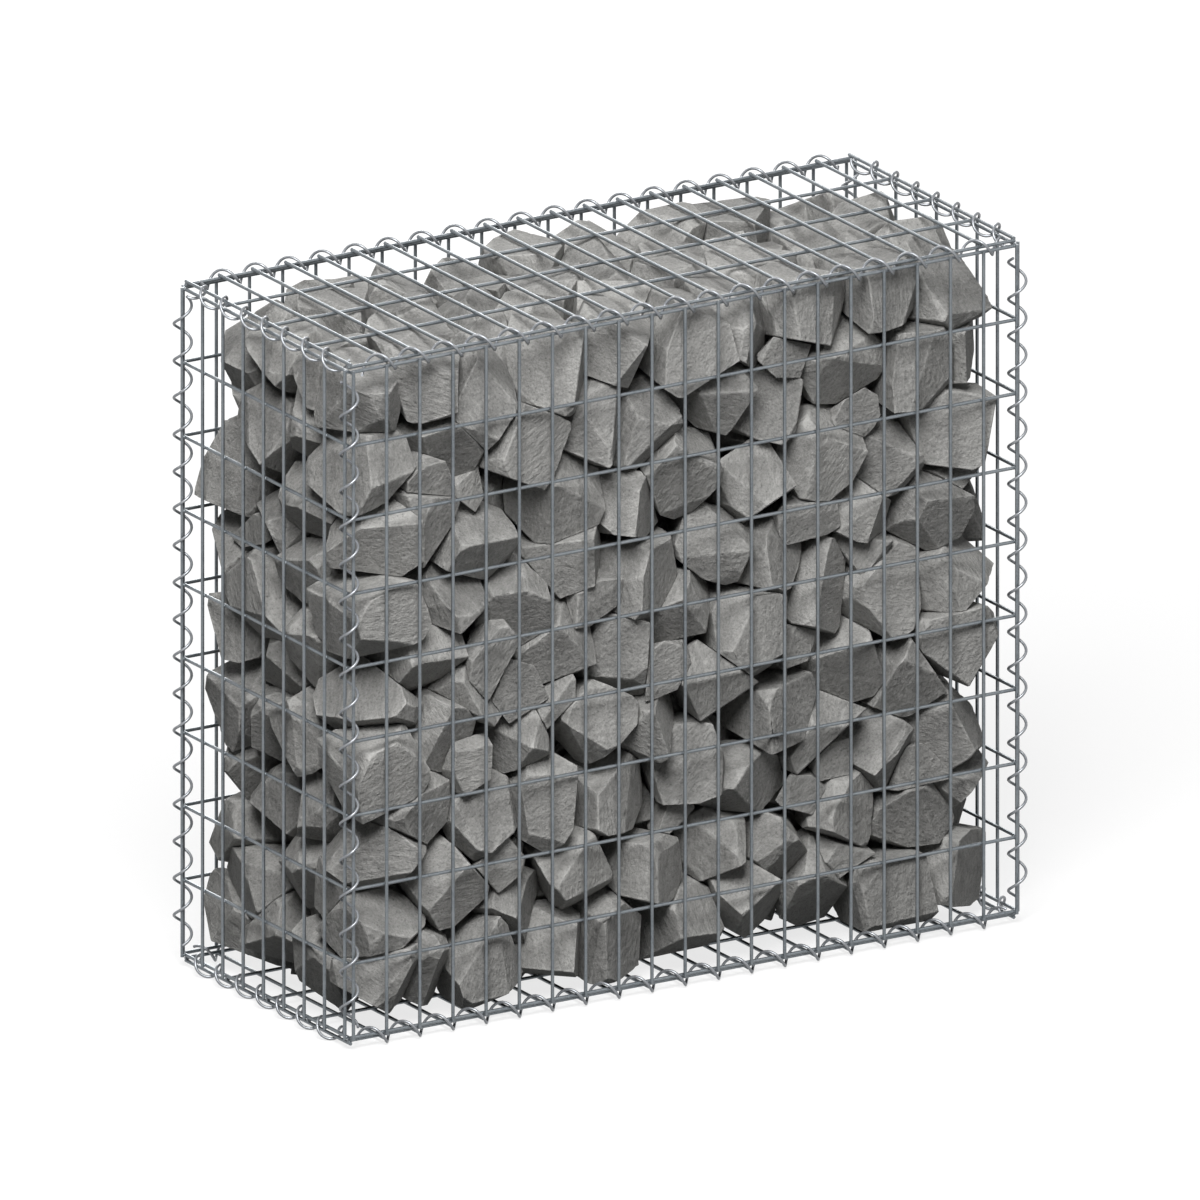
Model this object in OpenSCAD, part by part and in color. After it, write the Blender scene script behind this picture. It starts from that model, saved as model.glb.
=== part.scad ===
// Gabion wall basket: six welded mesh panels, laced along every edge with wire coils
// and filled with broken stone. Millimetres, +Z up, standing on its lowest coils.

/* [Basket] */
// Length between the end wires of the front panel
basket_l = 1000; // [600:10:1600]
// Depth between the end wires of the side panels
basket_d = 400; // [300:10:800]
// Height between the lowest and the highest wall wire
basket_h = 900; // [400:10:1200]

/* [Mesh] */
// Diameter of the mesh wire
wire_d = 4.4; // [3:0.1:5]
// Spacing of the close outer wires
fine_pitch = 50; // [40:1:80]
// Spacing of the wide inner wires
coarse_pitch = 100; // [80:1:150]
// Depth by which two crossing wires are welded into each other
weld_sink = 0.4; // [0.2:0.1:0.8]
// Length of a wire's end past the side of the last wire that it crosses
wire_end = 0.2; // [0.1:0.1:1.5]
// Gap between two panels where they meet at an edge
panel_gap = 0.4; // [0.2:0.1:0.8]

/* [Lacing coils] */
// Diameter of the coil's wire
coil_wire_d = 3.8; // [2.5:0.1:4.5]
// Gap between a coil and the wire that it bears on
coil_seat = 0.2; // [0.1:0.1:0.5]
// Play of a corner coil past the second of the two wires that it laces
coil_play = 0.3; // [0.2:0.1:2]
// Share of a turn from a cross wire to the first laced panel
coil_phase = 0.375; // [0.3:0.005:0.45]

/* [Stones] */
// Spacing of the stones
stone_pitch = 96; // [80:1:130]
// Width of a stone's rough block, as a share of the spacing
stone_share = 1.06; // [0.9:0.01:1.2]
// Spread of the blocks' widths, as a share of the width
stone_spread = 0.22; // [0:0.01:0.25]
// Stray of a stone from its place, as a share of the spacing
stone_stray = 0.18; // [0:0.01:0.25]
// Gap between two stones that bear on each other
stone_gap = 0.4; // [0.2:0.1:0.8]
// Depth by which a stone's tip is dressed where it bears on the cage
stone_bed = 2.5; // [1:0.5:8]
// Number that fixes the fall of the stones
stone_seed = 7; // [1:1:99]

/* [Hidden] */
bar_sides = 6;
bar_turn = 180 / bar_sides;
bar_corner_r = wire_d / 2 / cos(bar_turn);
layer = wire_d - weld_sink;
wire_tip = bar_corner_r + wire_end;

fine_n_l = round(basket_l / fine_pitch);
fine_n_d = round(basket_d / fine_pitch);
coarse_n_d = round(basket_d / coarse_pitch);
coarse_n_h = round(basket_h / coarse_pitch);

// planes of the wires, inner and outer layer, from the basket's middle
front_in = basket_d / 2 + wire_tip + panel_gap + wire_d / 2;
front_out = front_in + layer;
side_in = basket_l / 2 + wire_tip + panel_gap;
side_out = side_in + layer;
lid_in = basket_h / 2 + bar_corner_r + panel_gap + wire_d / 2;
lid_out = lid_in + layer;

// lacing coils: rings at even turns, each a few-sided section
coil_rings = 7;
coil_sides = 4;
coil_lead = 2;
corner_span = norm([side_out - basket_l / 2, front_out - basket_d / 2]);
coil_inner_r = (corner_span + coil_seat + coil_play) / 2 + bar_corner_r;
coil_reach = coil_inner_r - bar_corner_r - coil_seat;
coil_r = coil_inner_r / cos(180 / coil_rings) + coil_wire_d / 2;
coil_d = 2 * coil_r + coil_wire_d;

// places of the coils' axes: each bears on the first wire, towards the second
function seat(first, second) = first + coil_reach * (second - first) / norm(second - first);
post_axis = seat([basket_l / 2, front_out], [side_out, basket_d / 2]);
long_axis = seat([front_in, basket_h / 2], [basket_d / 2, lid_in]);
short_axis = seat([basket_l / 2, lid_out], [side_in, basket_h / 2]);
mid_z = max(long_axis[1], short_axis[1]) + coil_d / 2;

post_pitch = basket_h / coarse_n_h / 2;
long_pitch = basket_l / fine_n_l;
short_pitch = basket_d / fine_n_d;

// room for the stones inside the cage, with its edges cut back behind the coils
room = [side_in - wire_d / 2, front_in - wire_d / 2, lid_in - wire_d / 2];
room_gap = 0.3;
coil_clear = 2;
edge_cut = coil_d / sqrt(2) + coil_clear;
stone_n = [for (k = [0:2]) max(2, round(2 * room[k] / stone_pitch))];
stone_cell = [for (k = [0:2]) 2 * room[k] / stone_n[k]];
stone_w = stone_share * (stone_cell[0] + stone_cell[1] + stone_cell[2]) / 3;
cut_block = 4 * stone_w;

panels = ["front_panel", "back_panel", "left_panel", "right_panel", "lid_panel", "base_panel"];
posts = ["coil_front_left", "coil_front_right", "coil_back_left", "coil_back_right"];
lid_coils = ["coil_top_front", "coil_top_back", "coil_top_left", "coil_top_right"];
base_coils = ["coil_base_front", "coil_base_back", "coil_base_left", "coil_base_right"];
courses = [for (k = [1:stone_n[2]]) str("stones_course_", k)];

mesh_tone = [0.46, 0.48, 0.50];
coil_tone = [0.60, 0.62, 0.64];
stone_tone = [0.55, 0.55, 0.53];

// one straight wire of the mesh, along Z, with flats across X
module bar(span) {
    rotate([0, 0, bar_turn])
        cylinder(d = 2 * bar_corner_r, h = span + 2 * wire_tip, center = true, $fn = bar_sides);
}

// a flat panel in X and Y: inner wires along X, outer wires along Y welded on their +Z side
module welded_panel(span_x, n_x, span_y, n_y) {
    color(mesh_tone)
        union() {
            for (i = [0:n_x])
                translate([(i / n_x - 0.5) * span_x, 0, layer])
                    rotate([0, 90, 90])
                        bar(span_y);
            for (j = [0:n_y])
                translate([0, (j / n_y - 0.5) * span_y, 0])
                    rotate([0, 90, 0])
                        bar(span_x);
        }
}

module long_wall() {
    translate([0, -front_in, mid_z])
        rotate([90, 0, 0])
            welded_panel(basket_l, fine_n_l, basket_h, coarse_n_h);
}

module end_wall() {
    translate([-side_in, 0, mid_z])
        rotate([90, 0, -90])
            welded_panel(basket_d, fine_n_d, basket_h, coarse_n_h);
}

module cover() {
    translate([0, 0, lid_in])
        welded_panel(basket_l, fine_n_l, basket_d, coarse_n_d);
}

module front_panel() {
    long_wall();
}

module back_panel() {
    rotate([0, 0, 180])
        long_wall();
}

module left_panel() {
    end_wall();
}

module right_panel() {
    rotate([0, 0, 180])
        end_wall();
}

module lid_panel() {
    translate([0, 0, mid_z])
        cover();
}

module base_panel() {
    translate([0, 0, mid_z])
        rotate([180, 0, 0])
            cover();
}

// right-handed coil about Z, from 0 to span; turn is the direction of the first laced panel
module coil(span, pitch, turn) {
    steps = round(span / pitch) * coil_rings - 2 * coil_lead;
    rise = pitch / (2 * PI * coil_r);
    slope = norm([1, rise]);
    points = [
        for (k = [0:steps])
            let (s = pitch * (k + coil_lead) / coil_rings, t = turn + 360 * (s / pitch - coil_phase))
            for (q = [0:coil_sides - 1])
                let (a = 360 * q / coil_sides)
                let (out = coil_r + coil_wire_d / 2 * cos(a), up = coil_wire_d / 2 * sin(a) / slope)
                [
                    out * cos(t) + rise * up * sin(t),
                    out * sin(t) - rise * up * cos(t),
                    s + up
                ]
    ];
    ends = [
        for (q = [1:coil_sides - 2]) [0, q, q + 1],
        for (q = [1:coil_sides - 2]) [for (v = [0, q + 1, q]) steps * coil_sides + v]
    ];
    sides = [
        for (k = [0:steps - 1])
            for (q = [0:coil_sides - 1])
                let (a = k * coil_sides + q, b = k * coil_sides + (q + 1) % coil_sides)
                each [[a, a + coil_sides, b], [b, a + coil_sides, b + coil_sides]]
    ];
    color(coil_tone)
        polyhedron(points = points, faces = concat(ends, sides));
}

// upright coil of a corner; turn is the direction of its first wall
module post_coil(side_x, side_y, turn) {
    translate([side_x * post_axis[0], side_y * post_axis[1], mid_z - basket_h / 2])
        coil(basket_h, post_pitch, turn);
}

// coil along X, on the front or the back edge of the lid or the base
module long_coil(side_y, side_z, turn) {
    translate([-basket_l / 2, side_y * long_axis[0], mid_z + side_z * long_axis[1]])
        rotate([90, 0, 90])
            coil(basket_l, long_pitch, turn);
}

// coil along Y, on the left or the right edge of the lid or the base
module short_coil(side_x, side_z, turn) {
    translate([side_x * short_axis[0], basket_d / 2, mid_z + side_z * short_axis[1]])
        rotate([90, 0, 0])
            coil(basket_d, short_pitch, turn);
}

module coil_front_left() {
    post_coil(-1, -1, 0);
}

module coil_front_right() {
    post_coil(1, -1, 90);
}

module coil_back_left() {
    post_coil(-1, 1, 270);
}

module coil_back_right() {
    post_coil(1, 1, 180);
}

module coil_top_front() {
    long_coil(-1, 1, 270);
}

module coil_top_back() {
    long_coil(1, 1, 180);
}

module coil_top_left() {
    short_coil(-1, 1, 270);
}

module coil_top_right() {
    short_coil(1, 1, 180);
}

module coil_base_front() {
    long_coil(-1, -1, 0);
}

module coil_base_back() {
    long_coil(1, -1, 90);
}

module coil_base_left() {
    short_coil(-1, -1, 0);
}

module coil_base_right() {
    short_coil(1, -1, 90);
}

// axes of a block turned by rotate([a, b, c])
function block_axes(r) =
    let (sa = sin(r[0]), ca = cos(r[0]), sb = sin(r[1]), cb = cos(r[1]), sc = sin(r[2]), cc = cos(r[2]))
    [
        [cb * cc, cb * sc, -sb],
        [sa * sb * cc - ca * sc, sa * sb * sc + ca * cc, sa * cb],
        [ca * sb * cc + sa * sc, ca * sb * sc - sa * cc, ca * cb]
    ];

// how far a block reaches from its middle towards n
function block_reach(n, axes, size) =
    (abs(n * axes[0]) * size[0] + abs(n * axes[1]) * size[1] + abs(n * axes[2]) * size[2]) / 2;

// a stone is what two blocks share: turns, widths and axes of both, then its middle
function stone_reach(n, s) = min(block_reach(n, s[2], s[1]), block_reach(n, s[5], s[4]));

stone_count = stone_n[0] * stone_n[1] * stone_n[2];
draws = 15;
dice = rands(0, 1, draws * stone_count, stone_seed);

function block_turn(d, k) = [for (q = [0:2]) 180 * dice[d + k + q]];
function block_size(d, k) = [for (q = [0:2]) stone_w * (1 + stone_spread * (2 * dice[d + k + q] - 1))];

// a place along one axis: outer stones lie against the cage, the rest stray about their cell
function stone_place(axis, index, shift, reach) =
    let (side = room[axis] - room_gap - reach + stone_bed)
    let (free = (index + 0.5) * stone_cell[axis] - room[axis] + shift * stone_cell[axis])
    index == 0 ? -side : index == stone_n[axis] - 1 ? side : min(max(free, -side), side);

function stone(i, j, k) =
    let (d = draws * (i + stone_n[0] * (j + stone_n[1] * k)))
    let (turn_1 = block_turn(d, 0), axes_1 = block_axes(turn_1))
    let (size_1 = block_size(d, 3))
    let (turn_2 = block_turn(d, 6), axes_2 = block_axes(turn_2))
    let (size_2 = block_size(d, 9) + [0, 0, stone_w / 2])
    let (blocks = [turn_1, size_1, axes_1, turn_2, size_2, axes_2])
    let (stagger = [((j + k) % 2 - 0.5) / 2, ((i + k) % 2 - 0.5) / 3, ((i + j) % 2 - 0.5) / 3])
    let (stray = [for (q = [0:2]) stone_stray * (2 * dice[d + 12 + q] - 1)])
    let (reach = [for (q = [[1, 0, 0], [0, 1, 0], [0, 0, 1]]) stone_reach(q, blocks)])
    let (ends = [[i, 0], [j, 1], [k, 2]])
    concat(blocks, [[for (e = ends) stone_place(e[1], e[0], stagger[e[1]] + stray[e[1]], reach[e[1]])]]);

stones = [
    for (k = [0:stone_n[2] - 1])
        for (j = [0:stone_n[1] - 1])
            for (i = [0:stone_n[0] - 1])
                stone(i, j, k)
];

function stone_at(i, j, k) = stones[i + stone_n[0] * (j + stone_n[1] * k)];

// inside faces of the cage: its six walls and the cut-back along its twelve edges
walls = [
    for (k = [0:2])
        for (e = [-1, 1])
            [[for (q = [0:2]) q == k ? e : 0], room[k] - room_gap]
];
edges = [
    for (k = [0:2])
        for (e = [-1, 1])
            for (f = [-1, 1])
                let (p = (k + 1) % 3, r = (k + 2) % 3)
                [
                    [for (q = [0:2]) q == p ? e / sqrt(2) : q == r ? f / sqrt(2) : 0],
                    (room[p] + room[r] - edge_cut) / sqrt(2)
                ]
];

// cuts of a stone by the cage, as directions with distances from the stone's middle
function cage_cuts(s) = [
    for (w = concat(walls, edges))
        let (p = w[1] - w[0] * s[6])
        if (stone_reach(w[0], s) > p)
            [w[0], p]
];

// cuts by the stones around it, shared between the two in proportion to their reach
function near_cuts(s, i, j, k) = [
    for (a = [max(0, i - 1):min(stone_n[0] - 1, i + 1)])
        for (b = [max(0, j - 1):min(stone_n[1] - 1, j + 1)])
            for (c = [max(0, k - 1):min(stone_n[2] - 1, k + 1)])
                if (a != i || b != j || c != k)
                    let (o = stone_at(a, b, c), d = norm(o[6] - s[6]), n = (o[6] - s[6]) / d)
                    let (mine = stone_reach(n, s), yours = stone_reach(n, o))
                    if (mine + yours + stone_gap > d)
                        [n, d * mine / (mine + yours) - stone_gap / 2]
];

// everything on the near side of a plane at distance p towards n
module near_side(n, p) {
    rotate([0, acos(n[2]), atan2(n[1], n[0])])
        translate([0, 0, p - cut_block / 2])
            cube(cut_block, center = true);
}

module broken_stone(s, cuts) {
    translate(s[6])
        intersection() {
            rotate(s[0])
                cube(s[1], center = true);
            rotate(s[3])
                cube(s[4], center = true);
            intersection_for (c = cuts)
                near_side(c[0], c[1]);
        }
}

module stones_course(k) {
    color(stone_tone)
        translate([0, 0, mid_z])
            for (j = [0:stone_n[1] - 1])
                for (i = [0:stone_n[0] - 1])
                    let (s = stone_at(i, j, k))
                    broken_stone(s, concat(cage_cuts(s), near_cuts(s, i, j, k)));
}

front_panel();
back_panel();
left_panel();
right_panel();
lid_panel();
base_panel();
coil_front_left();
coil_front_right();
coil_back_left();
coil_back_right();
coil_top_front();
coil_top_back();
coil_top_left();
coil_top_right();
coil_base_front();
coil_base_back();
coil_base_left();
coil_base_right();
for (k = [1:stone_n[2]])
    stones_course(k - 1);
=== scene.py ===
import itertools
import math
import random

import bmesh
import bpy
from mathutils import Matrix, Vector, noise
from mathutils.bvhtree import BVHTree


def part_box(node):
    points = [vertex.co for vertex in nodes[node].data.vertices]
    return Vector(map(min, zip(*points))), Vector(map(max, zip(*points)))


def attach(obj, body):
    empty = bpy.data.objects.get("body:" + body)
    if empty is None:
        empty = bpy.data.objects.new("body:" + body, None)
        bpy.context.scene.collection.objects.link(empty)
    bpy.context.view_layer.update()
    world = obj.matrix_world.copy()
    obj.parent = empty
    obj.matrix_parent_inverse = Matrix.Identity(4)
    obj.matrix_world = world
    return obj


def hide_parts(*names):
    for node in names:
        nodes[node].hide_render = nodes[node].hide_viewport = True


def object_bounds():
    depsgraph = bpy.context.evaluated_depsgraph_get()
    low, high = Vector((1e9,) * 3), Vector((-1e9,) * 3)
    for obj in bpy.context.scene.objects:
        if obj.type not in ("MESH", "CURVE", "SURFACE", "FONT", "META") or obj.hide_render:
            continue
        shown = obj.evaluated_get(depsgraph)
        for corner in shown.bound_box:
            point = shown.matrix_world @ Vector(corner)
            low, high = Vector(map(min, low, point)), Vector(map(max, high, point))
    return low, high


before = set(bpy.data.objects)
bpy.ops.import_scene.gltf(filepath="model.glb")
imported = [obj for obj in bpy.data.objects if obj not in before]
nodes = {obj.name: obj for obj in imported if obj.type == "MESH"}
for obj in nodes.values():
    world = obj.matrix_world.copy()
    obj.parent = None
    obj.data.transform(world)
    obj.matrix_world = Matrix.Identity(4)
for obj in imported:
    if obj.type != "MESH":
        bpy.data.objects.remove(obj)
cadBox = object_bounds()
print("frame loaded:", len(nodes), "nodes")


# a socket that can be used in plain arithmetic
class Wire:
    def __init__(self, owner, socket):
        self.owner = owner
        self.socket = socket

    def math(self, operation, first, second):
        return self.owner.add(self.owner.mathNode, {"operation": operation}, {0: first, 1: second})

    def __add__(self, other):
        return self.math("ADD", self, other)

    def __radd__(self, other):
        return self.math("ADD", other, self)

    def __sub__(self, other):
        return self.math("SUBTRACT", self, other)

    def __rsub__(self, other):
        return self.math("SUBTRACT", other, self)

    def __mul__(self, other):
        return self.math("MULTIPLY", self, other)


# puts nodes into a tree: type, settings first, then socket values or links
class Nodes:
    mathNode = "ShaderNodeMath"

    def __init__(self, tree):
        self.tree = tree

    def add(self, kind, settings=None, sockets=None, out=0):
        node = self.tree.nodes.new(kind)
        for key, value in (settings or {}).items():
            if key == "stops":
                self.setStops(node.color_ramp, value)
            else:
                setattr(node, key, value)
        for key, value in (sockets or {}).items():
            for one in value if isinstance(value, list) else [value]:
                if isinstance(one, Wire):
                    self.tree.links.new(one.socket, node.inputs[key])
                else:
                    node.inputs[key].default_value = one
        return Wire(self, node.outputs[out]) if node.outputs else node

    def setStops(self, ramp, stops):
        while len(ramp.elements) < len(stops):
            ramp.elements.new(0.5)
        for element, (place, tone) in zip(ramp.elements, stops):
            element.position = place
            element.color = (*tone, 1) if isinstance(tone, tuple) else (tone, tone, tone, 1)

    def mix(self, factor, first, second):
        return self.add(
            "ShaderNodeMix",
            {"data_type": "RGBA", "clamp_factor": True},
            {0: factor, 6: first, 7: second},
            out=2,
        )

    def noise(self, where, scale, detail, roughness):
        return self.add(
            "ShaderNodeTexNoise",
            {"noise_dimensions": "3D"},
            {"Vector": where, "Scale": scale, "Detail": detail, "Roughness": roughness},
        )

    def ramp(self, factor, stops):
        return self.add("ShaderNodeValToRGB", {"stops": stops}, {0: factor})

    def bump(self, height, strength, depth):
        return self.add("ShaderNodeBump", None, {"Strength": strength, "Distance": depth, "Height": height})


def newMaterial(name):
    material = bpy.data.materials.new(name)
    material.use_nodes = True
    material.node_tree.nodes.clear()
    return material, Nodes(material.node_tree)


def closeMaterial(make, constants, **varying):
    shader = make.add("ShaderNodeBsdfPrincipled", None, {**constants, **varying})
    make.add("ShaderNodeOutputMaterial", None, {"Surface": shader})


# galvanised steel: dull zinc with crystals, grey bloom and a fine grain
zinc = {
    "bloomRamp": [(0.38, 0.0), (0.66, 1.0)],
    "crystalRough": 0.06,
    "dullRough": 0.10,
    "bump": 0.06,
    "bumpDepth": 0.0004,
    "specular": 0.5,
}


def galvanised(name, look):
    material, make = newMaterial(name)
    place = make.add("ShaderNodeTexCoord", None, None, out=3)
    cells = make.add(
        "ShaderNodeTexVoronoi",
        {"feature": "F1"},
        {"Vector": place, "Scale": look["crystal"]},
        out=1,
    )
    crystal = make.add("ShaderNodeSeparateColor", None, {0: cells})
    bloom = make.noise(place, look["bloom"], detail=5.0, roughness=0.6)
    grain = make.noise(place, look["grain"], detail=3.0, roughness=0.6)
    dull = make.ramp(bloom, zinc["bloomRamp"])
    tone = make.mix(crystal, (*look["dark"], 1), (*look["pale"], 1))
    tone = make.mix(dull * look["dullShare"], tone, (*look["chalk"], 1))
    rough = look["rough"] + crystal * zinc["crystalRough"] + dull * zinc["dullRough"]
    bump = make.bump(grain + bloom, zinc["bump"], zinc["bumpDepth"])
    closeMaterial(
        make,
        {"Metallic": look["metal"], "Specular IOR Level": zinc["specular"]},
        **{"Base Color": tone, "Roughness": rough, "Normal": bump},
    )
    return material


meshLook = {
    "dark": (0.136, 0.152, 0.166),
    "pale": (0.186, 0.206, 0.222),
    "chalk": (0.238, 0.256, 0.268),
    "crystal": 420.0,
    "bloom": 26.0,
    "grain": 900.0,
    "rough": 0.30,
    "dullShare": 0.55,
    "metal": 0.72,
}
coilLook = {
    "dark": (0.196, 0.206, 0.221),
    "pale": (0.240, 0.251, 0.266),
    "chalk": (0.270, 0.279, 0.292),
    "crystal": 480.0,
    "bloom": 40.0,
    "grain": 1100.0,
    "rough": 0.30,
    "dullShare": 0.45,
    "metal": 0.62,
}
meshFinish = galvanised("galvanisedMeshWire", meshLook)
coilFinish = galvanised("galvanisedCoilWire", coilLook)

# broken grey stone: own tone, streaky grain, speckle, paler edges that are partly bruise and partly painted
# highlight
stoneLook = {
    "shade": (0.098, 0.098, 0.095),
    "light": (0.384, 0.379, 0.364),
    # paler colour for the edges: partly bruised stone, partly a painted highlight
    "bruiseAndHighlight": (0.450, 0.445, 0.430),
    "fleck": (0.060, 0.060, 0.061),
    "mottle": 40.0,  # scales of the patterns, from coarse to fine
    "dent": 105.0,
    "streak": 190.0,
    "speckle": 360.0,
    "stretch": (1.0, 1.0, 0.22),  # streaks run along the stone's own Z
    "level": 0.56,
    "toneShare": 0.30,
    "mottleShare": 0.50,
    "streakShare": 0.68,
    "speckleShare": 0.80,
    "fleckRamp": [(0.30, 1.0), (0.38, 0.0)],
    "fleckShare": 0.40,
    # spread of the paler edges along the borders, bruise and painted highlight together
    "wornHighlightRamp": [(0.50, 0.0), (0.95, 1.0)],
    "wornHighlightLevel": 0.85,
    "wornHighlightVary": 1.2,
    "wornHighlightShare": 0.36,
    "streakRelief": 1.6,
    "dentRelief": 1.2,
    "speckleRelief": 0.35,
    "bump": 0.8,
    "bumpDepth": 0.0024,
    "rough": 0.88,
    "roughVary": 0.16,
    "specular": 0.25,
}


def brokenStone(name, look):
    material, make = newMaterial(name)
    own = make.add("ShaderNodeAttribute", {"attribute_name": "grainPlace"}, None, out=1)
    tone = make.add("ShaderNodeAttribute", {"attribute_name": "stoneTone"}, None, out=2)
    edge = make.add("ShaderNodeAttribute", {"attribute_name": "edgeWear"}, None, out=2)
    along = make.add("ShaderNodeMapping", None, {"Vector": own, "Scale": look["stretch"]})
    mottle = make.noise(own, look["mottle"], detail=5.0, roughness=0.65) - 0.5
    streak = make.noise(along, look["streak"], detail=6.0, roughness=0.66) - 0.5
    speckle = make.noise(own, look["speckle"], detail=3.0, roughness=0.6) - 0.5
    dent = make.noise(own, look["dent"], detail=2.0, roughness=0.5) - 0.5
    level = look["level"] + (tone - 0.5) * look["toneShare"] + mottle * look["mottleShare"]
    level = level + streak * look["streakShare"] + speckle * look["speckleShare"]
    body = make.mix(level, (*look["shade"], 1), (*look["light"], 1))
    fleck = make.ramp(speckle + 0.5, look["fleckRamp"])
    body = make.mix(fleck * look["fleckShare"], body, (*look["fleck"], 1))
    # paler edges: partly bruised stone, partly a painted highlight along every border
    patchy = look["wornHighlightLevel"] + streak * look["wornHighlightVary"] + mottle * look["wornHighlightVary"]
    wornHighlight = make.ramp(edge * patchy, look["wornHighlightRamp"])
    body = make.mix(wornHighlight * look["wornHighlightShare"], body, (*look["bruiseAndHighlight"], 1))
    rough = look["rough"] + streak * look["roughVary"]
    relief = streak * look["streakRelief"] + dent * look["dentRelief"] + speckle * look["speckleRelief"]
    bump = make.bump(relief, look["bump"], look["bumpDepth"])
    closeMaterial(
        make,
        {"Specular IOR Level": look["specular"]},
        **{"Base Color": body, "Roughness": rough, "Normal": bump},
    )
    return material


stoneFinish = brokenStone("brokenGreyStone", stoneLook)
print("materials ready")


# geometry trees: inputs are made by name, and set on the modifier by identifier
class Tree(Nodes):
    def __init__(self, name, inputs):
        super().__init__(bpy.data.node_groups.new(name, "GeometryNodeTree"))
        face = self.tree.interface
        face.new_socket("Geometry", in_out="OUTPUT", socket_type="NodeSocketGeometry")
        self.identifiers = {}
        for label, kind in inputs.items():
            self.identifiers[label] = face.new_socket(label, in_out="INPUT", socket_type=kind).identifier
        self.entry = self.tree.nodes.new("NodeGroupInput")

    def given(self, label):
        return Wire(self, self.entry.outputs[label])

    def point(self, x, y, z):
        return self.add("ShaderNodeCombineXYZ", None, {0: x, 1: y, 2: z})

    def ring(self, sides, radius):
        settings = {"mode": "RADIUS"}
        return self.add("GeometryNodeCurvePrimitiveCircle", settings, {"Resolution": sides, "Radius": radius})

    def sweep(self, path, profile):
        return self.add(
            "GeometryNodeCurveToMesh",
            None,
            {"Curve": path, "Profile Curve": profile, "Fill Caps": True},
        )

    # straight wires spaced evenly between the first and the last place
    def wireRow(self, count, places, ends, profile):
        row = self.add(
            "GeometryNodeMeshLine",
            {"mode": "END_POINTS", "count_mode": "TOTAL"},
            {"Count": count, "Start Location": self.point(*places[0]), "Offset": self.point(*places[1])},
        )
        line = self.add(
            "GeometryNodeCurvePrimitiveLine",
            {"mode": "POINTS"},
            {"Start": self.point(*ends[0]), "End": self.point(*ends[1])},
        )
        lines = self.add("GeometryNodeInstanceOnPoints", None, {"Points": row, "Instance": line})
        lines = self.add("GeometryNodeRealizeInstances", None, {0: lines})
        return self.sweep(lines, profile)

    def close(self, parts):
        whole = self.add("GeometryNodeJoinGeometry", None, {0: list(reversed(parts))})
        whole = self.add("GeometryNodeRealizeInstances", None, {0: whole})
        whole = self.add("GeometryNodeSetShadeSmooth", None, {0: whole})
        whole = self.add("GeometryNodeSetMaterial", None, {0: whole, "Material": self.given("Finish")})
        self.add("NodeGroupOutput", {}, {0: whole})

    def makeMesh(self, name, values):
        holder = bpy.data.objects.new(name, bpy.data.meshes.new(name))
        bpy.context.scene.collection.objects.link(holder)
        modifier = holder.modifiers.new("shape", "NODES")
        modifier.node_group = self.tree
        for label, value in values.items():
            modifier[self.identifiers[label]] = value
        holder.update_tag()
        bpy.context.view_layer.update()
        ready = holder.evaluated_get(bpy.context.evaluated_depsgraph_get())
        mesh = bpy.data.meshes.new_from_object(ready)
        holder.modifiers.remove(modifier)
        holder.data = mesh
        mesh.name = name
        return holder


def columns(x, y, z, place):
    turn = Matrix((x, y, z)).transposed().to_4x4()
    return Matrix.Translation(place) @ turn


def settle(piece, node):
    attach(piece, "root")
    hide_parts(node)


floatKind = "NodeSocketFloat"
intKind = "NodeSocketInt"

# the six panels take their place and span from the frame's boxes
cage = {
    "wireRadius": 0.0023,
    "layer": 0.0040,  # from the inner wires' middle to the outer ones'
    "tip": 0.00274,  # how far wires stand past the last crossing
    "fine": 0.050,
    "coarse": 0.100,
    "wireSides": 14,
    "weld": 0.0029,
    "weldSides": (8, 4),
    "weldLeast": (0.80, 0.80, 0.42),
    "weldMost": (1.12, 1.12, 0.60),
    "panels": {
        "front_panel": ((1, 0, 0), (0, 0, 1), (0, -1, 0)),
        "back_panel": ((-1, 0, 0), (0, 0, 1), (0, 1, 0)),
        "left_panel": ((0, -1, 0), (0, 0, 1), (-1, 0, 0)),
        "right_panel": ((0, 1, 0), (0, 0, 1), (1, 0, 0)),
        "lid_panel": ((1, 0, 0), (0, 1, 0), (0, 0, 1)),
        "base_panel": ((1, 0, 0), (0, -1, 0), (0, 0, -1)),
    },
}

# welded panel: inner wires along X, outer wires along Y, a weld nugget at each crossing
panelTree = Tree(
    "weldedPanel",
    {
        "Span X": floatKind,
        "Span Y": floatKind,
        "Outer Wires": intKind,
        "Inner Wires": intKind,
        "Wire Radius": floatKind,
        "Layer": floatKind,
        "Tip": floatKind,
        "Weld": floatKind,
        "Seed": intKind,
        "Finish": "NodeSocketMaterial",
    },
)


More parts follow.
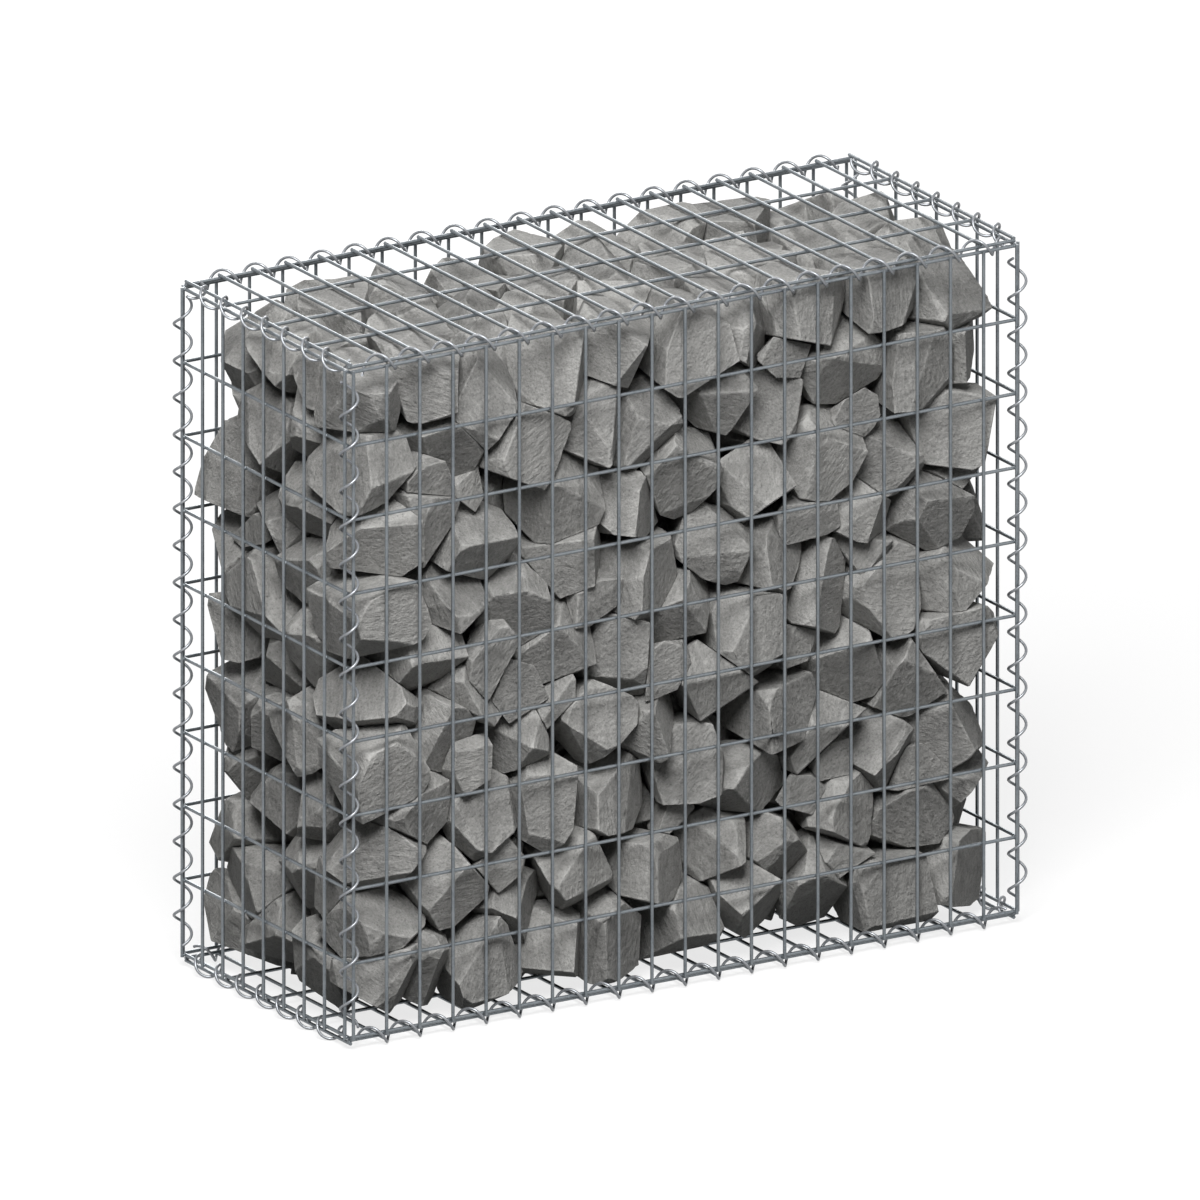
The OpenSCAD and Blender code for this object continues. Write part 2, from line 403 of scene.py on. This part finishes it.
def fillPanelTree(tree):
    halfX = tree.given("Span X") * 0.5
    halfY = tree.given("Span Y") * 0.5
    endX = halfX + tree.given("Tip")
    endY = halfY + tree.given("Tip")
    layer = tree.given("Layer")
    profile = tree.ring(cage["wireSides"], tree.given("Wire Radius"))
    outer = tree.wireRow(
        tree.given("Outer Wires"),
        ((0 - halfX, 0.0, layer), (halfX, 0.0, layer)),
        ((0.0, 0 - endY, 0.0), (0.0, endY, 0.0)),
        profile,
    )
    inner = tree.wireRow(
        tree.given("Inner Wires"),
        ((0.0, 0 - halfY, 0.0), (0.0, halfY, 0.0)),
        ((0 - endX, 0.0, 0.0), (endX, 0.0, 0.0)),
        profile,
    )
    grid = tree.add(
        "GeometryNodeMeshGrid",
        None,
        {
            "Size X": tree.given("Span X"),
            "Size Y": tree.given("Span Y"),
            "Vertices X": tree.given("Outer Wires"),
            "Vertices Y": tree.given("Inner Wires"),
        },
    )
    between = tree.point(0.0, 0.0, layer * 0.5)
    grid = tree.add("GeometryNodeTransform", None, {"Geometry": grid, "Translation": between})
    segments, rings = cage["weldSides"]
    nugget = tree.add(
        "GeometryNodeMeshUVSphere",
        None,
        {"Segments": segments, "Rings": rings, "Radius": tree.given("Weld")},
    )
    size = tree.add(
        "FunctionNodeRandomValue",
        {"data_type": "FLOAT_VECTOR"},
        {0: cage["weldLeast"], 1: cage["weldMost"], "Seed": tree.given("Seed")},
    )
    welds = tree.add(
        "GeometryNodeInstanceOnPoints",
        None,
        {"Points": grid, "Instance": nugget, "Scale": size},
    )
    tree.close([outer, inner, welds])


fillPanelTree(panelTree)


def makePanel(node, axes, seed):
    low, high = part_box(node)
    across, up, out = (Vector(a) for a in axes)
    size = high - low
    spanX = abs(size.dot(across)) - 2 * cage["tip"]
    spanY = abs(size.dot(up)) - 2 * cage["tip"]
    middle = (low + high) / 2
    inner = middle - out * (abs(size.dot(out)) / 2 - cage["wireRadius"])
    piece = panelTree.makeMesh(
        node + "_wires",
        {
            "Span X": spanX,
            "Span Y": spanY,
            "Outer Wires": round(spanX / cage["fine"]) + 1,
            "Inner Wires": round(spanY / cage["coarse"]) + 1,
            "Wire Radius": cage["wireRadius"],
            "Layer": cage["layer"],
            "Tip": cage["tip"],
            "Weld": cage["weld"],
            "Seed": seed,
            "Finish": meshFinish,
        },
    )
    piece.data.transform(columns(across, up, out, inner))
    settle(piece, node)


for seed, (node, axes) in enumerate(cage["panels"].items()):
    makePanel(node, axes, seed)
print("panels ready")

# the coils: side is the outward direction in the two axes across the coil
lacing = {
    "wireRadius": 0.0019,
    "wireSides": 10,
    "reach": 0.01333,  # outer radius, a little short of the full circle as the solids' rings are
    "lead": 2 / 7,  # share of a pitch left free at each end
    "phase": 0.375,  # share of a turn back from the coil's angle at the basket's corner
    "pitch": 0.050,
    "steps": 22,
    "coils": {
        "coil_front_left": ("z", (-1, -1), 0),
        "coil_front_right": ("z", (1, -1), 90),
        "coil_back_left": ("z", (-1, 1), 270),
        "coil_back_right": ("z", (1, 1), 180),
        "coil_top_front": ("x", (-1, 1), 270),
        "coil_top_back": ("x", (1, 1), 180),
        "coil_base_front": ("x", (-1, -1), 0),
        "coil_base_back": ("x", (1, -1), 90),
        "coil_top_left": ("y", (-1, 1), 270),
        "coil_top_right": ("y", (1, 1), 180),
        "coil_base_left": ("y", (-1, -1), 0),
        "coil_base_right": ("y", (1, -1), 90),
    },
    "axes": {
        "x": ((0, 1, 0), (0, 0, 1), (1, 0, 0)),
        "y": ((1, 0, 0), (0, 0, 1), (0, -1, 0)),
        "z": ((1, 0, 0), (0, 1, 0), (0, 0, 1)),
    },
}

# lacing coil about Z, right-handed, from a start angle
coilTree = Tree(
    "lacingCoil",
    {
        "Turns": floatKind,
        "Height": floatKind,
        "Radius": floatKind,
        "Wire Radius": floatKind,
        "Start Angle": floatKind,
        "Steps": intKind,
        "Finish": "NodeSocketMaterial",
    },
)


def fillCoilTree(tree):
    path = tree.add(
        "GeometryNodeCurveSpiral",
        None,
        {
            "Resolution": tree.given("Steps"),
            "Rotations": tree.given("Turns"),
            "Start Radius": tree.given("Radius"),
            "End Radius": tree.given("Radius"),
            "Height": tree.given("Height"),
            "Reverse": True,
        },
    )
    turn = tree.point(0.0, 0.0, tree.given("Start Angle"))
    path = tree.add("GeometryNodeTransform", None, {"Geometry": path, "Rotation": turn})
    tree.close([tree.sweep(path, tree.ring(lacing["wireSides"], tree.given("Wire Radius")))])


fillCoilTree(coilTree)


def makeCoil(node, along, side, turn):
    low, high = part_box(node)
    first, second, axis = (Vector(a) for a in lacing["axes"][along])
    size = high - low
    outer = lacing["reach"]
    middle = (low + high) / 2
    start = middle - axis * (abs(size.dot(axis)) / 2)
    for direction, sign in ((first, side[0]), (second, side[1])):
        edge = abs(size.dot(direction)) / 2
        start += direction * sign * (edge - outer)
    length = abs(size.dot(axis))
    turns = round(length / lacing["pitch"] + 2 * lacing["lead"]) - 2 * lacing["lead"]
    height = turns * lacing["pitch"]
    start += axis * (length - height) / 2
    piece = coilTree.makeMesh(
        node + "_wire",
        {
            "Turns": turns,
            "Height": height,
            "Radius": outer - lacing["wireRadius"],
            "Wire Radius": lacing["wireRadius"],
            "Start Angle": math.radians(turn) + math.tau * (lacing["lead"] - lacing["phase"]),
            "Steps": lacing["steps"],
            "Finish": coilFinish,
        },
    )
    piece.data.transform(columns(first, second, axis, start))
    settle(piece, node)


for node, (along, side, turn) in lacing["coils"].items():
    makeCoil(node, along, side, turn)
print("coils ready")

# the stones: copies of the solids with knocked-off corners, broken edges and uneven faces
rubble = {
    "seed": 11,
    "joint": 1e-6,  # doubled points of the solids closer than this are one
    "merge": 0.0015,
    "close": 0.00002,
    "flat": math.radians(4),
    "cuts": (3, 6),
    "cutDepth": (0.003, 0.009),
    "cutTilt": 0.35,
    "chamfer": (0.0005, 0.0014),
    "chamferRoom": 0.42,  # share of a face's own half width
    "chamferVary": 0.6,
    "chamferScale": 55,
    "narrowest": 0.35,  # keeps sharp corners from being set in too far
    "rounds": 5,
    "shell": 0.068,  # how deep stones show behind the mesh
    "border": 0.008,  # longest runs: on borders, within flats and out of sight
    "face": 0.014,
    "hidden": 0.045,
    "swell": 0.0003,
    "swellFrom": 0.6,
    "swellScales": ((26, 0.6), (61, 0.4)),
    "rough": 0.0002,
    "roughFrom": 0.5,
    "roughScale": 170,
    "chip": 0.0034,
    "chipFrom": 0.25,
    "chipScale": 90,
    "chipShift": (5, 1, 3),
    "patternRange": 9,
    "crisp": math.radians(4),
}
dice = random.Random(rubble["seed"])


def anyDirection():
    return Vector((dice.gauss(0, 1), dice.gauss(0, 1), dice.gauss(0, 1))).normalized()


def anyTurn():
    return Matrix.Rotation(dice.uniform(0, math.tau), 3, anyDirection())


inside = [
    (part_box("left_panel")[1].x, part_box("right_panel")[0].x),
    (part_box("front_panel")[1].y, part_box("back_panel")[0].y),
    (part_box("base_panel")[1].z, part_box("lid_panel")[0].z),
]


def roomToCage(place):
    return min(min(c - low, high - c) for c, (low, high) in zip(place, inside))


def hullOf(points):
    hull = bmesh.new()
    for co in points:
        hull.verts.new(co)
    bmesh.ops.remove_doubles(hull, verts=hull.verts[:], dist=rubble["merge"])
    made = bmesh.ops.convex_hull(hull, input=hull.verts[:], use_existing_faces=False)
    spare = [v for v in made["geom_interior"] + made["geom_unused"] if isinstance(v, bmesh.types.BMVert)]
    bmesh.ops.delete(hull, geom=spare, context="VERTS")
    bmesh.ops.dissolve_limit(hull, angle_limit=rubble["flat"], verts=hull.verts[:], edges=hull.edges[:])
    hull.normal_update()
    return hull


# keeps what lies behind the plane; the cut is closed by the next hull
def cutAway(stone, place, outward):
    if any((v.co - place).dot(outward) > 0 for v in stone.verts):
        whole = stone.verts[:] + stone.edges[:] + stone.faces[:]
        bmesh.ops.bisect_plane(stone, geom=whole, plane_co=place, plane_no=outward, clear_outer=True)


def closeUp(stone):
    points = [v.co.copy() for v in stone.verts]
    stone.free()
    return hullOf(points)


def heartOf(stone):
    return sum((v.co for v in stone.verts), Vector()) / len(stone.verts)


def knockCorners(stone):
    heart = heartOf(stone)
    corners = [v.co.copy() for v in stone.verts]
    for corner in dice.sample(corners, min(dice.randint(*rubble["cuts"]), len(corners))):
        outward = ((corner - heart).normalized() + rubble["cutTilt"] * anyDirection()).normalized()
        reach = max((v.co - heart).dot(outward) for v in stone.verts)
        cutAway(stone, heart + outward * (reach - dice.uniform(*rubble["cutDepth"])), outward)
        stone = closeUp(stone)
    return stone


def chamferFace(points, normal, depth, shift):
    count = len(points)
    middle = sum(points, Vector()) / count
    sides = [normal.cross((points[(k + 1) % count] - points[k]).normalized()) for k in range(count)]
    room = min((middle - points[k]).dot(sides[k]) for k in range(count))
    depth = min(depth, rubble["chamferRoom"] * max(room, 0.0))
    moved = []
    for k in range(count):
        before, after = sides[k - 1], sides[k]
        step = (before + after) / max(1 + before.dot(after), rubble["narrowest"])
        vary = 1 + rubble["chamferVary"] * noise.noise(points[k] * rubble["chamferScale"] + shift)
        moved.append(points[k] + step * depth * vary)
    return moved


# new faces set in from the old ones, with a strip along each edge and a patch at each corner
def breakEdges(hull, depth, shift):
    target = bmesh.new()
    flat = target.faces.layers.int.new("flat")
    made, rings = {}, []
    for face in hull.faces:
        moved = chamferFace([loop.vert.co for loop in face.loops], face.normal, depth, shift)
        for loop, co in zip(face.loops, moved):
            made[loop] = target.verts.new(co)
        rings.append([made[loop] for loop in face.loops])
    for edge in hull.edges:
        one, two = edge.link_loops
        rings.append([made[one], made[two.link_loop_next], made[two], made[one.link_loop_next]])
    for corner in hull.verts:
        first = corner.link_loops[0]
        ring, now = [made[first]], first.link_loop_radial_next.link_loop_next
        while now != first:
            ring.append(made[now])
            now = now.link_loop_radial_next.link_loop_next
        rings.append(ring[::-1])
    for number, ring in enumerate(rings):
        if len(ring) > 2:
            target.faces.new(ring)[flat] = number
    return target, flat


def betweenFlats(edge, flat):
    return len({face[flat] for face in edge.link_faces}) > 1


# short runs along the borders that show, longer ones within a flat and out of sight
def longestRun(edge, flat):
    if roomToCage((edge.verts[0].co + edge.verts[1].co) / 2) > rubble["shell"]:
        return rubble["hidden"]
    return rubble["border" if betweenFlats(edge, flat) else "face"]


def refine(stone, flat):
    for _ in range(rubble["rounds"]):
        bmesh.ops.triangulate(stone, faces=stone.faces[:])
        tooLong = [edge for edge in stone.edges if edge.calc_length() > longestRun(edge, flat)]
        if not tooLong:
            break
        bmesh.ops.subdivide_edges(stone, edges=tooLong, cuts=1, use_grid_fill=True)
    bmesh.ops.dissolve_degenerate(stone, dist=rubble["close"], edges=stone.edges[:])
    bmesh.ops.triangulate(stone, faces=stone.faces[:])
    within = [edge for edge in stone.edges if not betweenFlats(edge, flat)]
    bmesh.ops.beautify_fill(stone, faces=stone.faces[:], edges=within)
    bmesh.ops.recalc_face_normals(stone, faces=stone.faces[:])


# faces sink a little by noise, edges lose chips; nothing moves outward
def weather(stone, wear, heart, shift):
    for vert in stone.verts:
        place = vert.co + shift
        swell = sum(noise.noise(place * scale) * share for scale, share in rubble["swellScales"])
        rough = noise.noise(place * rubble["roughScale"])
        chipped = noise.noise(place * rubble["chipScale"] + Vector(rubble["chipShift"]))
        chip = max(0.0, chipped - rubble["chipFrom"]) * vert[wear]
        sink = rubble["swell"] * (rubble["swellFrom"] - swell)
        sink = sink + rubble["rough"] * (rubble["roughFrom"] - rough) + rubble["chip"] * chip
        vert.co += (heart - vert.co).normalized() * max(sink, 0.0)


# borders between flats stay crisp, each flat is smooth within
def markBorders(stone, flat):
    for face in stone.faces:
        face.smooth = True
    for edge in stone.edges:
        edge.smooth = not betweenFlats(edge, flat) or edge.calc_face_angle(math.pi) < rubble["crisp"]


# collects finished stones into one mesh with the values that the finish reads
class Heap:
    def __init__(self):
        self.whole = bmesh.new()
        self.spare = bpy.data.meshes.new("spare")

    def addStone(self, hull):
        heart, own, turn = heartOf(hull), dice.random(), anyTurn()
        shift = Vector([dice.uniform(0, rubble["patternRange"]) for _ in range(3)])
        stone, flat = breakEdges(hull, dice.uniform(*rubble["chamfer"]), shift)
        refine(stone, flat)
        stone.normal_update()
        markBorders(stone, flat)
        wear = stone.verts.layers.float.new("edgeWear")
        tone = stone.verts.layers.float.new("stoneTone")
        place = stone.verts.layers.float_vector.new("grainPlace")
        for vert in stone.verts:
            # border points take the chips and the paler edges, which are partly bruise and partly painted
            # highlight
            vert[wear] = float(any(not edge.smooth for edge in vert.link_edges))
        weather(stone, wear, heart, shift)
        for vert in stone.verts:
            vert[tone] = own
            vert[place] = turn @ (vert.co - heart) + shift
        stone.to_mesh(self.spare)
        stone.free()
        self.whole.from_mesh(self.spare)

    def makePiece(self, name):
        mesh = bpy.data.meshes.new(name)
        self.whole.faces.layers.int.remove(self.whole.faces.layers.int["flat"])
        self.whole.to_mesh(mesh)
        self.whole.free()
        bpy.data.meshes.remove(self.spare)
        mesh.validate()  # drops doubled slivers
        mesh.materials.append(stoneFinish)
        piece = bpy.data.objects.new(name, mesh)
        bpy.context.scene.collection.objects.link(piece)
        print(name, len(mesh.polygons), "triangles")
        return piece


def groupStones(course):
    seen = set()
    for face in course.faces:
        if face in seen:
            continue
        island, queue = set(), [face]
        seen.add(face)
        while queue:
            one = queue.pop()
            island |= set(one.verts)
            near = {other for edge in one.edges for other in edge.link_faces} - seen
            seen |= near
            queue += near
        yield [vert.co.copy() for vert in sorted(island, key=lambda vert: vert.index)]


# what the packing has to keep clear of: middle, reach and surface of each stone
def surfaceOf(hull):
    heart = heartOf(hull)
    reach = max((v.co - heart).length for v in hull.verts)
    return heart, reach, BVHTree.FromBMesh(hull)


def makeCourse(node, taken):
    source = bmesh.new()
    source.from_mesh(nodes[node].data)
    bmesh.ops.remove_doubles(source, verts=source.verts[:], dist=rubble["joint"])
    source.verts.index_update()
    heap = Heap()
    for points in groupStones(source):
        hull = hullOf(points)
        taken.append(surfaceOf(hull))
        hull = knockCorners(hull)
        heap.addStone(hull)
        hull.free()
    source.free()
    settle(heap.makePiece(node + "_broken"), node)


# small stones lodged in the gaps that show: each is cut off by planes against its neighbours
packing = {
    "step": 0.021,
    "near": 0.030,
    "depth": 0.130,
    "least": 0.0110,  # room that a gap needs round a stone's middle
    "squeeze": 0.7,  # share of that room that is enough once others are packed
    "search": 0.07,
    "bearingSlope": -0.35,
    "bearingReach": 0.03,
    "bearings": 2,
    "clear": 0.0006,
    "half": (0.030, 0.046),
    "sideVary": (0.75, 1.3),
    "cutVary": (0.85, 1.15),
    "set": (0.016, 0.030),
    "most": 330,
    "leastCorners": 4,
    "leastFaces": 5,
    "leastVolume": 9e-6,
}


def gapPlaces(taken):
    found = []
    counts = [int((high - low) / packing["step"]) for low, high in inside]
    for i, j, k in itertools.product(*(range(c) for c in counts)):
        place = Vector(
            low + (n + dice.random()) * packing["step"] for n, (low, high) in zip((i, j, k), inside)
        )
        if not packing["near"] < roomToCage(place) < packing["depth"]:
            continue
        near = [one for one in taken if (one[0] - place).length < one[1] + packing["least"]]
        gap = min([clearTo(one, place) for one in near] or [packing["half"][1]])
        if gap > packing["least"]:
            found.append((gap, place))
    return [place for gap, place in sorted(found, key=lambda one: -one[0])]


def clearTo(one, place):
    spot, normal, _, gap = one[2].find_nearest(place)
    return gap if (place - spot).dot(normal) > 0 else -gap


# planes against the stones round a place, or nothing where it is too tight
def neighbourPlanes(place, taken):
    planes = []
    for one in taken:
        if (one[0] - place).length < one[1] + packing["search"]:
            spot, normal, _, gap = one[2].find_nearest(place)
            toward = (spot - place).normalized()
            if gap < packing["least"] * packing["squeeze"] or (place - spot).dot(normal) <= 0:
                return []
            planes.append((spot - toward * packing["clear"], toward))
    return planes


def restsOnStones(place, planes):
    below = [
        toward
        for spot, toward in planes
        if toward.z < packing["bearingSlope"] and (spot - place).length < packing["bearingReach"]
    ]
    return len(below) >= packing["bearings"]


# flat breaks on all six sides, turned at random
def breakPlanes(place, half):
    turn, planes = anyTurn(), []
    for axis, sign in itertools.product(range(3), (-1, 1)):
        toward = turn.col[axis] * sign
        planes.append((place + toward * half * dice.uniform(*packing["cutVary"]), toward))
    return planes


def cagePlanes(place):
    planes = []
    for axis, (low, high) in enumerate(inside):
        for limit, sign in ((low, -1), (high, 1)):
            toward = Vector((0, 0, 0))
            toward[axis] = sign
            spot = place.copy()
            spot[axis] = limit - sign * dice.uniform(*packing["set"])
            planes.append((spot, toward))
    return planes


def makePackingStone(place, taken):
    planes = neighbourPlanes(place, taken)
    if not restsOnStones(place, planes):
        return None
    turn, half = anyTurn(), dice.uniform(*packing["half"])
    sides = [half * dice.uniform(*packing["sideVary"]) for _ in range(3)]
    corners = [Vector(signs) * Vector(sides) for signs in itertools.product((-1, 1), repeat=3)]
    stone = hullOf([place + turn @ corner for corner in corners])
    for spot, toward in planes + breakPlanes(place, half) + cagePlanes(place):
        cutAway(stone, spot, toward)
        if len(stone.verts) < packing["leastCorners"]:
            stone.free()
            return None
        stone = closeUp(stone)
    if len(stone.faces) < packing["leastFaces"] or stone.calc_volume() < packing["leastVolume"]:
        stone.free()
        return None
    return stone


def makePacking(taken):
    heap, count = Heap(), 0
    for place in gapPlaces(taken):
        hull = makePackingStone(place, taken) if count < packing["most"] else None
        if hull:
            taken.append(surfaceOf(hull))
            heap.addStone(hull)
            hull.free()
            count += 1
    piece = heap.makePiece("packing_stones")
    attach(piece, "root")
    print("packing stones:", count)


taken = []
for node in sorted(n for n in nodes if n.startswith("stones_course")):
    makeCourse(node, taken)
makePacking(taken)
print("stones ready:", len(taken))

# camera: the photograph is a parallel projection
shot = {"azimuth": -31.5, "elevation": 18.15, "width": 1.5424, "drop": 0.001, "distance": 6.0, "far": 60}
aim = Vector((0, 0, (cadBox[0].z + cadBox[1].z) / 2 - shot["drop"]))
turnRound = math.radians(shot["azimuth"])
lift = math.radians(shot["elevation"])
away = Vector((math.sin(turnRound) * math.cos(lift), -math.cos(turnRound) * math.cos(lift), math.sin(lift)))
lens = bpy.data.cameras.new("photoCamera")
lens.type = "ORTHO"
lens.ortho_scale = shot["width"]
lens.clip_end = shot["far"]
camera = bpy.data.objects.new("photoCamera", lens)
camera.location = aim + away * shot["distance"]
camera.rotation_euler = (-away).to_track_quat("-Z", "Y").to_euler()
bpy.context.scene.collection.objects.link(camera)
bpy.context.scene.camera = camera

# plain pale floor and soft studio light
studio = {
    "floorSize": 40.0,
    "floorTone": (0.90, 0.90, 0.90),
    "bounce": (0.09, 0.09, 0.09),
    "glow": 0.78,
    "world": 0.05,
    "key": {"place": (-2.3, -3.0, 4.8), "size": 3.0, "power": 562.0},
    "fill": {"place": (3.2, -4.2, 2.4), "size": 3.0, "power": 26.0},
    "rim": {"place": (1.6, 4.2, 1.9), "size": 2.6, "power": 150.0},
}


# the floor looks pale, but throws little light up under the stones
def makeFloor():
    half = studio["floorSize"] / 2
    mesh = bpy.data.meshes.new("floor")
    corners = [(-half, -half, 0), (half, -half, 0), (half, half, 0), (-half, half, 0)]
    mesh.from_pydata(corners, [], [(0, 1, 2, 3)])
    material, make = newMaterial("paleFloor")
    seen = make.add("ShaderNodeLightPath", None, None, out=0)
    glossy = make.add("ShaderNodeLightPath", None, None, out=3)
    plain = make.add("ShaderNodeBsdfDiffuse", None, {"Color": (*studio["floorTone"], 1)})
    white = make.add("ShaderNodeEmission", None, {"Color": (1, 1, 1, 1), "Strength": 1.0})
    shown = make.add("ShaderNodeMixShader", None, {0: studio["glow"], 1: plain, 2: white})
    dull = make.add("ShaderNodeBsdfDiffuse", None, {"Color": (*studio["bounce"], 1)})
    both = make.add("ShaderNodeMixShader", None, {0: seen + glossy, 1: dull, 2: shown})
    make.add("ShaderNodeOutputMaterial", None, {"Surface": both})
    mesh.materials.append(material)
    floor = bpy.data.objects.new("floor", mesh)
    bpy.context.scene.collection.objects.link(floor)


def makeLamp(name, lamp):
    light = bpy.data.lights.new(name, "AREA")
    light.shape = "DISK"
    light.size = lamp["size"]
    light.energy = lamp["power"]
    holder = bpy.data.objects.new(name, light)
    holder.location = lamp["place"]
    holder.rotation_euler = (aim - Vector(lamp["place"])).to_track_quat("-Z", "Y").to_euler()
    bpy.context.scene.collection.objects.link(holder)


def makeWorld():
    world = bpy.data.worlds.new("studio")
    world.use_nodes = True
    world.node_tree.nodes.clear()
    make = Nodes(world.node_tree)
    seen = make.add("ShaderNodeLightPath", None, None, out=0)
    glossy = make.add("ShaderNodeLightPath", None, None, out=3)
    dim = make.add("ShaderNodeBackground", None, {"Color": (1, 1, 1, 1), "Strength": studio["world"]})
    white = make.add("ShaderNodeBackground", None, {"Color": (1, 1, 1, 1), "Strength": 1.0})
    sky = make.add("ShaderNodeMixShader", None, {0: seen + glossy, 1: dim, 2: white})
    make.add("ShaderNodeOutputWorld", None, {"Surface": sky})
    bpy.context.scene.world = world


makeFloor()
makeWorld()
for name in ("key", "fill", "rim"):
    makeLamp(name + "Lamp", studio[name])
bpy.context.scene.view_settings.view_transform = "Standard"
print("studio ready")
